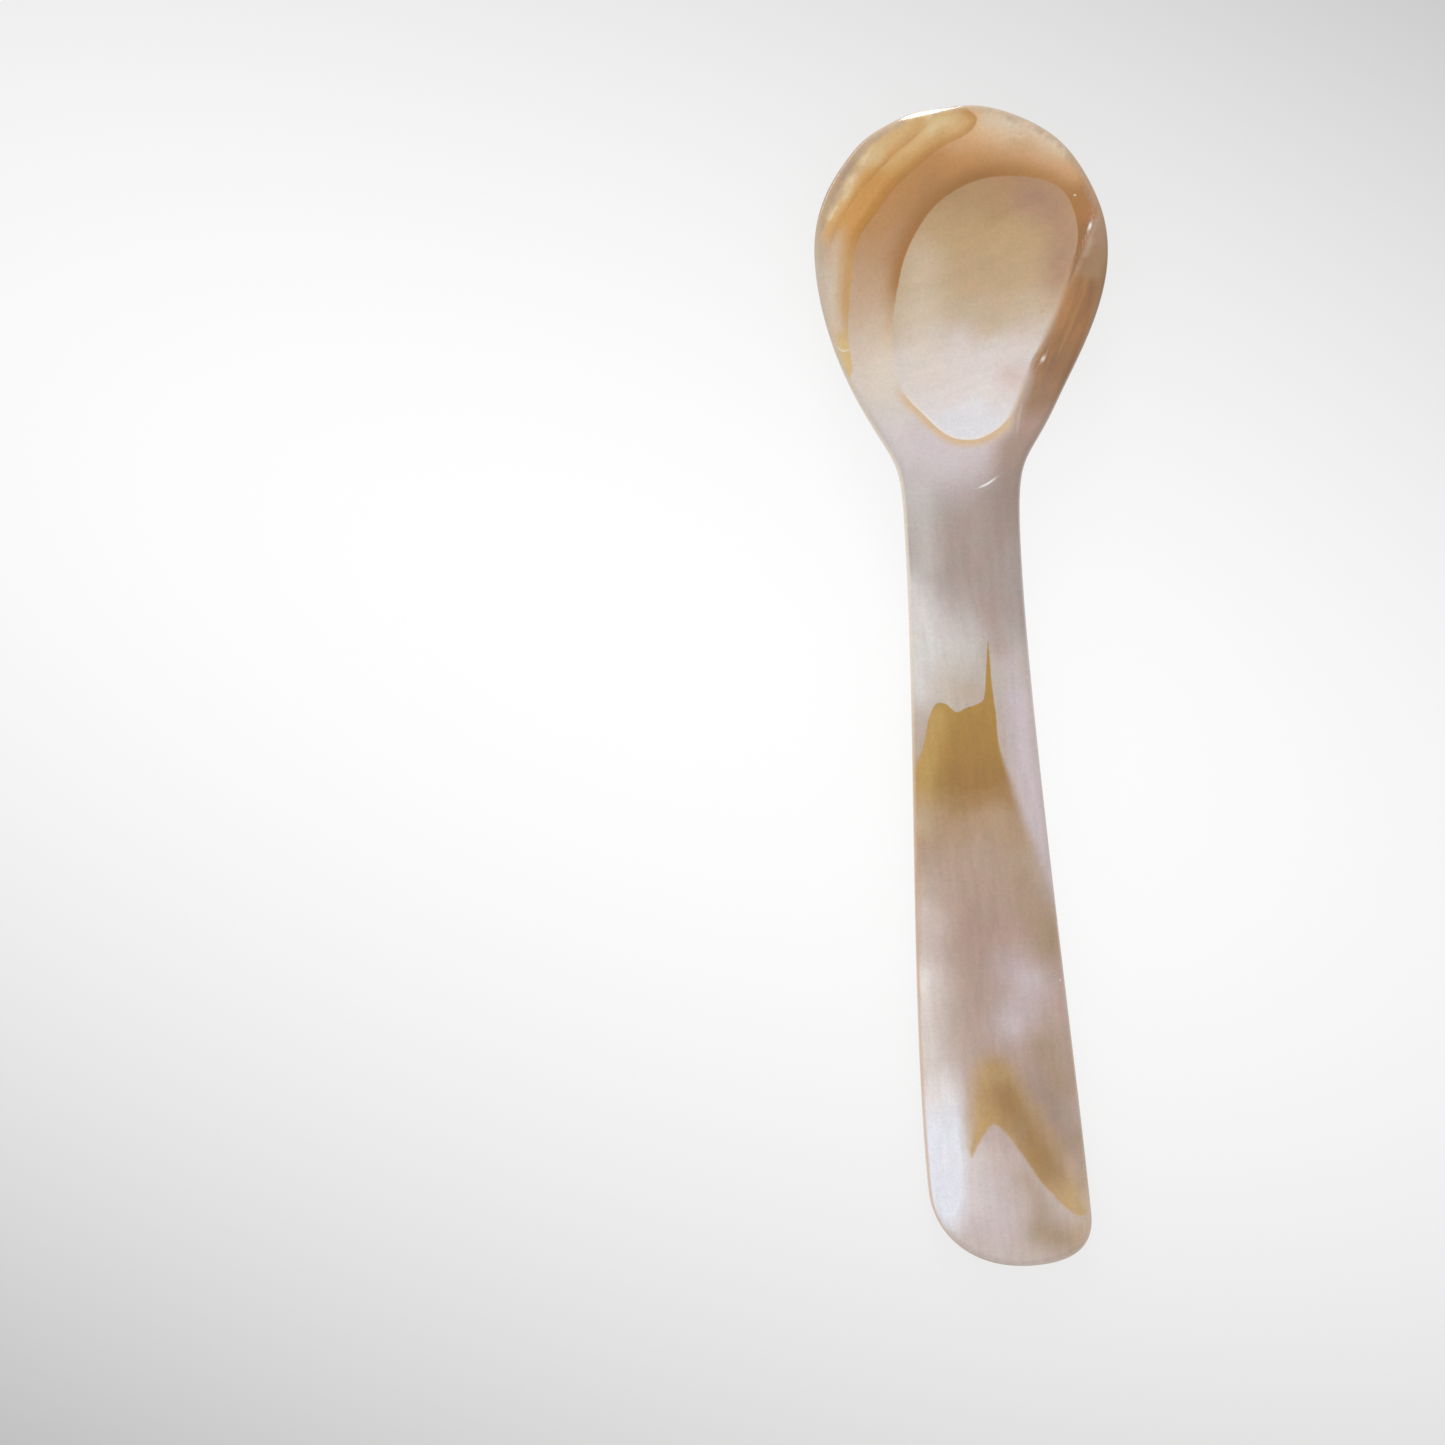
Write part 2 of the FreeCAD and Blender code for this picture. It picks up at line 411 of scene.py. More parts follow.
def nearest(line):
    """Distance from every skin point to the line, which side it is on (1 left of the way
    along, -1 right) and how far along the nearest place is, from 0 to 1."""
    start, step = line[:-1].astype(np.float32), np.diff(line, axis=0).astype(np.float32)
    gap = plan[:, None, :] - start
    share = np.clip((gap * step).sum(-1) / np.maximum((step ** 2).sum(-1), 1e-9), 0.0, 1.0)
    distance = np.linalg.norm(gap - share[..., None] * step, axis=-1)
    best = distance.argmin(axis=1)
    each = np.arange(len(plan))
    cross = step[best, 0] * gap[each, best, 1] - step[best, 1] * gap[each, best, 0]
    along = (best + share[each, best]) / len(step)
    return distance[each, best], np.sign(cross), along


def sheet(pixels):
    """Signed distance to a closed outline, above zero inside it. A point is inside where a
    level ray from it crosses the outline an odd number of times."""
    line = smooth_line(pixels, closed=True)
    line = np.concatenate([line, line[:1]])
    distance = nearest(line)[0]
    x, y = plan[:, :1], plan[:, 1:]
    (ax, ay), (bx, by) = line[:-1].T, line[1:].T
    spans = (ay > y) != (by > y)
    rise = np.where(by == ay, 1.0, by - ay)
    crossed = spans & (x < (bx - ax) * (y - ay) / rise + ax)
    return np.where(crossed.sum(axis=1) % 2 == 1, distance, -distance)


def cloud(strokes):
    """Density of soft strokes: each a strength, a half width in picture points and the
    points of its path. It falls off as a bell curve, and the strokes add up."""
    density = np.zeros(len(plan))
    for strength, half, pixels in strokes:
        path = on_shell(pixels) if len(pixels) > 1 else np.repeat(on_shell(pixels), 2, axis=0)
        density += strength * np.exp(-(nearest(path)[0] / (half * pixel)) ** 2)
    return density


def store(name, values):
    """Keeps one number for each point of the skin under a name that the material reads."""
    layer = spoon.data.attributes.new(name, "FLOAT", "POINT")
    layer.data.foreach_set("value", np.asarray(values, np.float32))
    print(name, "from", round(float(values.min()), 2), "to", round(float(values.max()), 2))


# %% Sharp edges of the layers, in picture points
crescent_edge = [(958, 104), (969, 110), (977, 118), (974, 127), (964, 136), (942, 147), (918, 166),
                 (893, 190), (872, 219), (857, 243), (851, 282), (848, 332), (852, 372), (840, 400),
                 (780, 330), (790, 200), (860, 110), (920, 85)]
well_edge = [(893, 350), (892, 332), (896, 297), (904, 260), (918, 229), (938, 203), (970, 183),
             (1003, 176), (1040, 179), (1064, 192), (1076, 218), (1077, 246), (1067, 276),
             (1056, 308), (1048, 326), (1040, 345), (1031, 362), (1022, 386), (1013, 408),
             (1001, 426), (977, 439), (949, 436), (922, 413), (901, 388)]
brown_streak = [(1092, 254), (1074, 266), (1067, 282), (1058, 306), (1050, 326), (1040, 344),
                (1031, 358), (1029, 372), (1026, 388), (1021, 404), (1012, 424), (996, 446),
                (990, 490), (991, 550), (1000, 610), (1040, 640), (1060, 520), (1070, 440),
                (1110, 380), (1130, 300), (1120, 250)]
grey_wedge = [(1091, 224), (1087, 240), (1080, 256), (1073, 270), (1090, 278), (1106, 276),
              (1120, 240), (1104, 216)]
gold_block = [(900, 1010), (895, 850), (914, 778), (920, 758), (925, 739), (929, 718), (936, 704),
              (946, 704), (956, 712), (966, 708), (977, 704), (984, 698), (986, 672), (988, 640),
              (991, 675), (993, 695), (996, 715), (999, 745), (1009, 778), (1018, 808),
              (1030, 843), (1046, 880), (1075, 925), (1060, 1010)]
arch_edge = [(971, 1158), (977, 1147), (986, 1132), (994, 1124), (1004, 1131), (1014, 1143),
             (1027, 1161), (1040, 1180), (1056, 1198), (1070, 1211), (1082, 1216), (1088, 1208),
             (1078, 1180), (1054, 1142), (1032, 1104), (1014, 1070), (993, 1053), (976, 1070),
             (969, 1100), (969, 1130)]
for name, edge in (("crescent", crescent_edge), ("well", well_edge), ("streak", brown_streak),
                   ("wedge", grey_wedge), ("block", gold_block), ("arch", arch_edge)):
    store(name, sheet(edge))
store("arch_outer", nearest(smooth_line(arch_edge[:11]))[0])


# %% Fine lines
def thread(name, pixels):
    """Stores a thin line as two numbers a point: how far off it lies, signed by its side so
    that it stays sharp between points, and how strong it is there. The strength fades at both
    ends as a sine does, and is 0 far off the line and on the underside."""
    gap, side, along = nearest(smooth_line(pixels))
    fading = np.sin(math.pi * np.clip(along, 0.03, 0.97)) ** 0.7
    store(name, gap * side)
    store(name + "_reach", fading * (gap < mark_reach) * upper_side)


# The glint, bead, scratch and nick lines and the chips further down are painted near white: painted
# glints on small chips and scratches.
thread("fine", [(932, 120), (917, 135), (893, 155), (872, 177), (855, 197), (840, 222), (828, 250)])
thread("fissure", [(1083, 246), (1078, 258), (1073, 271), (1068, 286)])
thread("gleam", [(1096, 222), (1090, 233), (1085, 247), (1080, 259), (1074, 274)])
thread("glint", [(1091, 222), (1090, 226), (1088, 231)])
thread("bead", [(1045, 355), (1043, 359), (1041, 362)])
thread("hair", [(1022, 402), (1020, 412), (1018, 424), (1017, 436)])
thread("scratch_glint", [(978, 488), (987, 484), (997, 477)])
thread("wrinkle", [(1002, 139), (1012, 134), (1020, 137), (1027, 134)])
thread("nick_glint", [(837, 348), (843, 351), (850, 350)])
thread("vein", [(1091, 278), (1091, 292), (1086, 310), (1074, 330)])

# %% Small chips with painted glints, and places across the spoon
chip_spots = [(1061, 981), (981, 639), (1028, 678), (1075, 195)]
chip_glints = np.min([nearest(on_shell([chip, chip]))[0] for chip in chip_spots], axis=0)
store("chip_glints", np.where(upper_side, chip_glints, far_off))
store("rim", rim_inset)
store("down", (eye[1] - plan[:, 1]) / pixel + picture_width / 2)
store("across", (spots[:, 0] - middle(spots[:, 1])) / half_width(spots[:, 1]))

# %% Soft clouds of the ground
ground_clouds = {
    "peach": [(0.5, 16, [(1008, 142), (1045, 155), (1070, 172)])],
    "apricot": [(0.8, 18, [(950, 120), (985, 124), (1000, 122)]),
        (0.1, 14, [(966, 146), (986, 146)])],
    "sand": [(0.9, 11, [(988, 118), (1022, 125), (1050, 136), (1066, 148)]),
        (0.1, 10, [(992, 138), (1015, 143)]), (0.2, 10, [(1040, 150)])],
    "brown": [(1.1, 15, [(1086, 196), (1090, 232), (1086, 250)]),
        (0.4, 14, [(935, 190), (908, 228), (894, 258)]), (0.35, 9, [(1021, 384), (1018, 418)]),
        (0.12, 16, [(1048, 1120), (1054, 1140)])],
    "cream": [(0.5, 18, [(885, 355), (880, 385)]), (0.3, 22, [(945, 672), (950, 695)])],
    "milk": [(0.9, 20, [(914, 592), (918, 640), (915, 690)]), (0.5, 26, [(935, 640), (955, 648)]),
        (0.5, 12, [(895, 425), (906, 448)]), (0.4, 16, [(920, 495), (927, 560)]),
        (0.4, 18, [(935, 452), (950, 466)]), (0.5, 14, [(1024, 760), (1042, 840), (1052, 880)])],
    "lilac": [(0.7, 22, [(915, 440), (962, 466)]), (0.5, 12, [(1012, 655), (1014, 690)]),
        (0.9, 18, [(1018, 705), (1023, 740), (1032, 790), (1048, 850), (1056, 890)]),
        (0.55, 24, [(1016, 968), (1030, 990), (1014, 1020)]),
        (0.5, 30, [(985, 1195), (1000, 1225)])],
    # The bluish white cloud, mostly down the left of the handle's end, is a painted sheen.
    "handle_sheen": [(1.5, 24, [(940, 1112), (944, 1146), (944, 1188)]), (0.35, 18, [(940, 1086)]),
        (0.7, 18, [(946, 1204), (949, 1220)]), (0.2, 14, [(1032, 978)]),
        (0.14, 14, [(1014, 1026)])],
    "blush": [(0.5, 25, [(920, 890), (922, 970)]),
        (0.85, 29, [(916, 992), (922, 1040), (932, 1090)]), (0.25, 20, [(930, 915)]),
        (0.3, 16, [(984, 1155)]), (0.35, 16, [(975, 1165), (978, 1200)]),
        (0.12, 20, [(1000, 1218)])],
    "mauve": [(0.4, 30, [(974, 500), (966, 545), (980, 590)]),
        (0.5, 14, [(1004, 500), (1006, 590)]), (0.5, 14, [(992, 612), (1000, 648)]),
        (0.25, 18, [(984, 900), (980, 960), (978, 1010)]), (0.9, 20, [(1042, 1090), (1064, 1142)])],
    "khaki": [(0.85, 18, [(1012, 846), (1034, 896), (1050, 945)]),
        (0.7, 18, [(1046, 1048), (1062, 1085)]), (0.6, 14, [(1080, 1138), (1086, 1182)]),
        (0.4, 14, [(1026, 1178), (1042, 1204)]), (0.9, 20, [(1044, 1232), (1070, 1240)]),
        (0.4, 15, [(1040, 1116), (1058, 1146)]), (0.25, 14, [(968, 690)])],
    "honey": [(0.55, 11, [(912, 800), (914, 890)]), (0.4, 11, [(1080, 1236), (1086, 1222)])]}
# %% Soft clouds that belong to one layer
layer_clouds = {
    "ring": [(1.0, 34, [(895, 275), (918, 229), (965, 183)]), (0.45, 22, [(893, 325)]),
        (0.6, 30, [(1010, 172), (1050, 178)]), (0.9, 22, [(1080, 205), (1082, 245)]),
        (1.1, 14, [(909, 402), (925, 420), (960, 443), (990, 438), (1004, 427)])],
    "gleam_heart": [(0.75, 4, [(1088, 241), (1084, 253)])],
    "rust": [(0.5, 10, [(1083, 230), (1078, 258)])],
    "melt": [(0.4, 20, [(1066, 284), (1048, 328)]), (0.6, 20, [(893, 368)]),
        (0.4, 14, [(1024, 380), (1014, 408)])],
    "rosy": [(0.8, 22, [(1030, 196), (1052, 206), (1066, 232), (1062, 275)]),
        (0.3, 16, [(1012, 376)])],
    "dawn": [(0.4, 24, [(922, 262), (918, 320), (926, 370)])],
    "pale": [(0.9, 8, [(876, 153), (866, 161)]), (0.9, 8, [(850, 179), (844, 188)]),
        (0.8, 8, [(838, 199), (832, 216)]), (0.7, 7, [(929, 118), (931, 130)]),
        (0.4, 8, [(945, 121), (956, 121)])],
    "ash": [(0.8, 9, [(827, 274), (829, 300), (837, 326)])],
    "ember": [(0.45, 6, [(921, 121), (913, 133), (903, 143), (892, 154)])],
    "umber": [(1.0, 22, [(1006, 1096), (1022, 1124), (1038, 1150), (1052, 1170)]),
        (0.5, 12, [(1000, 1060)])],
    "straw": [(0.7, 14, [(921, 825), (926, 750), (936, 716)])]}
for name, strokes in (ground_clouds | layer_clouds).items():
    store(name, cloud(strokes))

# %% [markdown]
# ## Node groups
# Two effects reach into many layers: a sharp edge that still wavers a little, and the silk of
# grain, threads and soft bands that runs through the whole shell. Each is a node group, built
# once. The edge is placed again for every layer, with that layer's own softness and waver.

# %% Small helpers for nodes
polish_veil, darkest_tone = 0.042, 0.008


def tone(red, green, blue):
    """Linear colour of the shell from the 0 to 255 numbers that it shows once polished: the
    polish adds a thin veil of white, which is taken off here."""
    value = np.array([red, green, blue]) / 255.0
    linear = np.where(value <= 0.04045, value / 12.92, ((value + 0.055) / 1.055) ** 2.4)
    return (*np.maximum(linear - polish_veil, darkest_tone).tolist(), 1.0)


class Bench:
    """Places nodes in one tree and joins them: a socket is linked and a number is set."""

    def __init__(self, tree):
        self.tree = tree

    def node(self, kind, settings=(), **inputs):
        """New node of a kind, with its settings and its inputs given by name."""
        node = self.tree.nodes.new(kind)
        for name, value in dict(settings).items():
            setattr(node, name, value)
        for name, value in inputs.items():
            self.join(value, node.inputs[name.replace("_", " ")])
        return node

    def join(self, value, socket):
        if isinstance(value, bpy.types.NodeSocket):
            self.tree.links.new(value, socket)
        else:
            socket.default_value = value

    def maths(self, operation, first, second=0.0, clamp=False):
        node = self.node("ShaderNodeMath", {"operation": operation, "use_clamp": clamp})
        self.join(first, node.inputs[0])
        self.join(second, node.inputs[1])
        return node.outputs[0]

    def spread(self, value, low, high, start=0.0, finish=1.0):
        """Value moved smoothly from the span low to high onto start to finish."""
        node = self.node("ShaderNodeMapRange", {"interpolation_type": "SMOOTHSTEP"})
        for name, number in zip(("Value", "From Min", "From Max", "To Min", "To Max"),
                                (value, low, high, start, finish)):
            self.join(number, node.inputs[name])
        return node.outputs[0]

    def mix(self, share, first, second):
        """The first colour with the second laid over it by the share."""
        node = self.node("ShaderNodeMix", {"data_type": "RGBA"})
        for number, value in ((0, share), (6, first), (7, second)):
            self.join(value, node.inputs[number])
        return node.outputs[2]

    def noise(self, place, scale, detail, roughness):
        node = self.node("ShaderNodeTexNoise", Vector=place, Scale=scale, Detail=detail,
                         Roughness=roughness)
        return node.outputs["Fac"]

    def turned(self, place, turn, stretch):
        """Place in a frame turned by degrees and drawn out by the stretch along its length."""
        node = self.node("ShaderNodeMapping", {"vector_type": "TEXTURE"}, Vector=place,
                         Rotation=(0.0, 0.0, math.radians(turn)), Scale=(stretch, 1.0, 1.0))
        return node.outputs["Vector"]

    def kept(self, name):
        """A number that the skin's points hold."""
        return self.node("ShaderNodeAttribute", {"attribute_name": name}).outputs["Fac"]


def fresh_bench(owner):
    """Bench on the emptied tree of a material or a world."""
    owner.use_nodes = True
    owner.node_tree.nodes.clear()
    return Bench(owner.node_tree)


def new_group(name, takes, gives):
    """Empty node group with named inputs and number outputs, and the bench to fill it."""
    group = bpy.data.node_groups.new(name, "ShaderNodeTree")
    for title, kind in takes.items():
        group.interface.new_socket(title, in_out="INPUT", socket_type=kind)
    for title in gives:
        group.interface.new_socket(title, in_out="OUTPUT", socket_type=NUMBER)
    bench = Bench(group)
    return group, bench, bench.node("NodeGroupInput").outputs, bench.node("NodeGroupOutput").inputs


# %% Layer edge group
NUMBER, VECTOR = "NodeSocketFloat", "NodeSocketVector"
edge_group, bench, given, result = new_group(
    "layer_edge", {"Distance": NUMBER, "Softness": NUMBER, "Waver": NUMBER, "Place": VECTOR},
    ["Inside"])
waver = bench.maths("SUBTRACT", bench.noise(given["Place"], 900.0, 3.0, 0.6), 0.5)
moved = bench.maths("ADD", given["Distance"], bench.maths("MULTIPLY", waver, given["Waver"]))
minus = bench.maths("MULTIPLY", given["Softness"], -1.0)
bench.join(bench.spread(moved, minus, given["Softness"]), result["Inside"])
print("built", edge_group.name)

# %% Silk group
silk_group, bench, given, result = new_group(
    "shell_silk", {"Place": VECTOR}, ["Grain", "Mottle", "Streaks", "Fibres", "Clouds", "Height"])
place = given["Place"]
fibres = bench.noise(bench.turned(place, 93.0, 7.0), 1500.0, 3.0, 0.55)
ripple = bench.noise(place, 900.0, 1.0, 0.4)
bench.join(bench.noise(place, 3000.0, 5.0, 0.75), result["Grain"])
bench.join(bench.noise(place, 1150.0, 3.0, 0.6), result["Mottle"])
bench.join(bench.noise(bench.turned(place, 18.0, 5.0), 620.0, 3.0, 0.55), result["Streaks"])
bench.join(fibres, result["Fibres"])
bench.join(bench.noise(bench.turned(place, 60.0, 2.0), 260.0, 3.0, 0.5), result["Clouds"])
bench.join(bench.maths("MULTIPLY", bench.maths("ADD", fibres, ripple), 0.3), result["Height"])
print("built", silk_group.name)

# %% [markdown]
# ## The shell material
# The colour is laid like glazes. A warm grey ground gets its soft clouds first. Each layer is
# then laid over it up to its sharp edge: the brown streak with the grey wedge beside it, the
# pale crescent along the rim, the well in the floor of the dish, the ochre block and the small
# arch on the handle. The silk's soft bands stir the tones. Its grain lies over all of them,
# with threads in the well and along the handle. A wrapped image would blur from near by and
# stretch on the rim, while these edges stay sharp and run on round the sides.

# %% Tones of the ground along the spoon, and of its clouds
ground_tones = (
    (105, 223, 177, 135), (150, 214, 158, 100), (168, 203, 144, 84), (230, 192, 142, 89),
    (275, 196, 160, 126), (320, 204, 178, 152), (365, 216, 201, 186), (405, 214, 203, 194),
    (440, 208, 198, 194), (468, 204, 193, 195), (492, 194, 185, 184), (522, 180, 169, 165),
    (550, 175, 162, 155), (578, 170, 155, 147), (604, 182, 170, 165), (635, 196, 186, 183),
    (665, 196, 185, 177), (705, 197, 184, 173), (835, 188, 161, 140), (870, 192, 165, 152),
    (925, 183, 153, 137), (985, 185, 156, 144), (1045, 192, 168, 157), (1110, 180, 153, 140),
    (1180, 204, 185, 178), (1240, 204, 188, 180))
cloud_tones = {
    "peach": (222, 184, 146), "apricot": (250, 206, 154), "sand": (238, 218, 190),
    "brown": (172, 123, 76), "cream": (226, 212, 196), "milk": (222, 217, 214),
    # The bluish white tone on this line is the painted sheen of the handle's end.
    "lilac": (207, 193, 199), "handle_sheen": (239, 240, 249), "blush": (236, 226, 221),
    "mauve": (168, 142, 132), "khaki": (170, 144, 116), "honey": (200, 168, 126)}
print("the ground has", len(ground_tones), "tones and", len(cloud_tones), "kinds of cloud")

# %% Material and its helpers
shell = bpy.data.materials.new("mother_of_pearl")
bench = fresh_bench(shell)
place = bench.node("ShaderNodeTexCoord").outputs["Object"]
down = bench.kept("down")
smooth_stops = 8


def grouped(group, **inputs):
    """Outputs of a node group placed in the material with its own values."""
    node = bench.node("ShaderNodeGroup", {"node_tree": group})
    for name, value in inputs.items():
        bench.join(value, node.inputs[name])
    return node.outputs


def ramp(value, stops):
    """Colour along a value: each stop is a number and its red, green and blue. The steps
    between are eased one by one, or with many stops one smooth curve runs close by them."""
    first, last = stops[0][0], stops[-1][0]
    share = bench.maths("DIVIDE", bench.maths("SUBTRACT", value, first), last - first)
    node = bench.node("ShaderNodeValToRGB", Fac=share)
    elements = node.color_ramp.elements
    node.color_ramp.interpolation = "B_SPLINE" if len(stops) > smooth_stops else "EASE"
    while len(elements) < len(stops):
        elements.new(0.5)
    for element, (spot, *hue) in zip(elements, stops):
        element.position = (spot - first) / (last - first)
        element.color = tone(*hue)
    return node.outputs["Color"]


def inside(name, softness=0.07, waver=0.12):
    """Share of a layer: 1 inside its edge and 0 outside."""
    return grouped(edge_group, Distance=bench.kept(name), Softness=softness, Waver=waver,
                   Place=place)["Inside"]


def times(first, second):
    """Product held between 0 and 1."""
    return bench.maths("MULTIPLY", first, second, clamp=True)


def stroke(name, wide, narrow=0.03):
    """Share of a thin line: 1 within the narrow distance of it and 0 past the wide one."""
    share = bench.spread(bench.maths("ABSOLUTE", bench.kept(name)), wide, narrow)
    return times(share, bench.kept(name + "_reach"))


def glaze(paint, *layers):
    """The paint with tones laid over it one by one, each a share and its red, green, blue."""
    for share, *hue in layers:
        paint = bench.mix(share, paint, tone(*hue))
    return paint


def tally(stage):
    print("nodes after", stage + ":", len(shell.node_tree.nodes))


# %% Ground and its clouds
silk = grouped(silk_group, Place=place)
stir = bench.spread(silk["Clouds"], 0.3, 0.7, 0.85, 1.15)
wander = bench.maths("MULTIPLY", bench.maths("SUBTRACT", silk["Clouds"], 0.5), 60.0)
drift = bench.maths("ADD", wander, down)
paint = ramp(drift, ground_tones)
for name, hue in cloud_tones.items():
    paint = glaze(paint, (times(bench.kept(name), stir), *hue))
tally("the ground")

# %% Brown streak and grey wedge
streak_paint = ramp(drift, (
    (280, 147, 104, 57), (340, 152, 106, 60), (378, 140, 101, 72), (415, 150, 118, 92),
    (445, 170, 143, 131), (500, 160, 140, 131), (590, 172, 157, 152)))
streak, melt = bench.kept("streak"), bench.kept("melt")
stripes = bench.noise(bench.turned(place, 66.0, 10.0), 1300.0, 3.0, 0.5)
warm = times(bench.spread(down, 460, 380), bench.spread(streak, 3.2, 1.6, 0.3, 1.0))
lit_border = times(bench.spread(streak, 1.6, 0.3), bench.spread(down, 360, 320))
streak_paint = glaze(
    streak_paint, (times(times(bench.spread(stripes, 0.46, 0.7), warm), 0.5), 176, 130, 76),
    (times(times(bench.spread(stripes, 0.49, 0.3), warm), 0.45), 128, 86, 52),
    (times(stroke("vein", 0.5), 0.4), 124, 76, 30), (times(lit_border, 0.7), 178, 130, 80))
streak_softness = bench.maths("ADD", bench.spread(down, 325, 375, 0.3, 0.9), melt)
streak_softness = bench.maths("ADD", streak_softness, bench.spread(down, 415, 500))
paint = bench.mix(inside("streak", streak_softness, 0.3), paint, streak_paint)
wedge_paint = bench.mix(bench.spread(down, 225, 275), tone(180, 152, 130), tone(160, 126, 96))
paint = bench.mix(times(inside("wedge", 0.7, 0.5), 0.9), paint, wedge_paint)
crack = stroke("fissure", 0.26)
paint = glaze(paint, (times(stroke("gleam", 0.55, 0.1), 0.6), 216, 198, 178),
              (bench.kept("gleam_heart"), 222, 208, 190), (times(crack, 0.6), 118, 80, 50))
tally("the streak and wedge")

# %% Crescent
crescent = bench.kept("crescent")
top_band = ramp(crescent, (
    (0.0, 208, 154, 88), (0.3, 214, 163, 97), (0.9, 228, 182, 117), (2.0, 240, 204, 143),
    (4.0, 234, 194, 134)))
middle_band = ramp(crescent, (
    (0.0, 190, 130, 54), (0.5, 197, 139, 64), (1.3, 216, 158, 84), (2.3, 216, 157, 82),
    (3.1, 222, 171, 98), (3.9, 220, 186, 142), (4.8, 202, 178, 156)))
lower_band = ramp(crescent, (
    (0.0, 204, 160, 100), (0.5, 202, 160, 106), (1.1, 210, 174, 130), (1.9, 218, 194, 166),
    (2.8, 206, 186, 166)))
crescent_paint = bench.mix(bench.spread(drift, 185, 135), middle_band, top_band)
crescent_paint = bench.mix(bench.spread(drift, 225, 275), crescent_paint, lower_band)
patchy = bench.noise(bench.turned(place, 48.0, 3.0), 1000.0, 3.0, 0.55)
patchy = bench.spread(patchy, 0.4, 0.6, 0.35, 1.15)
fine = bench.kept("fine")
beyond_line = times(bench.spread(fine, -0.8, -0.05), bench.spread(fine, 0.06, -0.06))
crescent_paint = glaze(
    crescent_paint, (bench.spread(down, 326, 352), 214, 186, 134),
    (times(bench.kept("pale"), patchy), 243, 219, 176),
    (times(bench.kept("ash"), 0.9), 216, 199, 180),
    (times(times(beyond_line, 0.45), bench.kept("fine_reach")), 200, 140, 68),
    (times(times(stroke("fine", 0.2), patchy), 0.32), 172, 116, 60),
    (bench.kept("ember"), 214, 154, 84))
crescent_softness = bench.spread(down, 250, 200, 0.06, 0.14)
paint = bench.mix(inside("crescent", crescent_softness), paint, crescent_paint)
tally("the crescent")

# %% Well, and the ring that shades into it
well = bench.kept("well")
outside = bench.maths("MULTIPLY", well, -1.0)
ring_reach = bench.spread(down, 360, 410, 2.2, 1.4)
ring_fall = bench.maths("POWER", bench.spread(outside, ring_reach, 0.1), 1.3)
ring_tone = bench.mix(bench.spread(down, 285, 350), tone(170, 119, 53), tone(212, 182, 148))
paint = bench.mix(times(ring_fall, bench.kept("ring")), paint, ring_tone)
paint = glaze(paint, (bench.kept("rust"), 138, 94, 56))
# Towards its lower end the well turns pale bluish white, which is partly a painted sheen.
well_paint = ramp(drift, (
    (175, 190, 147, 105), (205, 189, 152, 110), (240, 197, 165, 123), (275, 192, 164, 128),
    (320, 196, 174, 148), (370, 212, 202, 198), (410, 219, 209, 206), (440, 221, 219, 223)))
well_lip = times(bench.spread(well, 0.4, 0.08), bench.spread(down, 395, 415))
well_paint = glaze(well_paint, (times(bench.kept("rosy"), stir), 176, 137, 112),
                   (bench.kept("dawn"), 226, 212, 194), (times(well_lip, 0.4), 240, 230, 214))
paint = bench.mix(inside("well", bench.maths("ADD", melt, 0.08)), paint, well_paint)
tally("the well")

# %% Ochre block and arch of the handle
block_paint = ramp(drift, (
    (690, 180, 140, 68), (760, 172, 131, 64), (794, 163, 122, 66), (812, 170, 131, 84),
    (842, 183, 153, 122), (880, 187, 160, 140)))
straw_tone = bench.mix(bench.spread(down, 790, 835), tone(204, 168, 100), tone(208, 182, 152))
block_paint = bench.mix(bench.kept("straw"), block_paint, straw_tone)
block_softness = bench.spread(down, 740, 840, 0.07, 0.8)
block_share = times(inside("block", block_softness), bench.spread(drift, 960, 830))
paint = bench.mix(block_share, paint, block_paint)

arch_softness = bench.spread(bench.kept("arch_outer"), 0.2, 1.6, 0.2, 1.5)
arch_paint = bench.mix(bench.kept("umber"), tone(198, 162, 104), tone(163, 124, 72))
arch_share = times(inside("arch", arch_softness, 0.3),
                   bench.spread(silk["Clouds"], 0.3, 0.7, 0.8, 0.95))
arch_share = times(arch_share, bench.spread(down, 1048, 1092, 0.2, 1.0))
paint = bench.mix(arch_share, paint, arch_paint)
tally("the block and arch")

# %% Rim tones, with a painted highlight along the left edge of the neck
rim = bench.kept("rim")
left = bench.spread(bench.kept("across"), -0.4, -0.8)
right_rim = ramp(down, (
    (100, 206, 188, 166), (135, 190, 170, 150), (180, 180, 156, 132), (215, 176, 144, 120),
    (245, 156, 126, 104), (268, 160, 134, 108), (292, 146, 112, 76), (330, 150, 118, 92),
    (420, 176, 148, 128), (640, 196, 184, 184), (740, 206, 196, 196), (880, 186, 166, 152),
    (1240, 184, 158, 122)))
# On the left, the cream stops from 440 to 700 are a painted highlight on the rolled edge of the
# neck.
left_rim = ramp(down, (
    (100, 216, 198, 176), (135, 172, 148, 134), (195, 172, 148, 130), (226, 174, 150, 116),
    (275, 206, 188, 170), (340, 196, 178, 158), (440, 236, 224, 202), (700, 232, 220, 202),
    (800, 208, 168, 118), (1000, 214, 180, 148), (1240, 222, 190, 164)))
rim_reach = bench.maths("MULTIPLY", bench.spread(down, 280, 400, 1.0, 0.32),
                        bench.spread(down, 112, 150, 0.7, 1.0))
upper_left = times(left, bench.spread(down, 245, 200))
rim_reach = bench.maths("MULTIPLY", rim_reach, bench.spread(upper_left, 0.0, 1.0, 1.0, 1.55))
ragged = bench.noise(bench.turned(place, 48.0, 2.5), 1100.0, 3.0, 0.6)
ragged = bench.maths("MULTIPLY", bench.spread(ragged, 0.3, 0.7, -0.22, 0.22),
                     bench.spread(down, 300, 220))
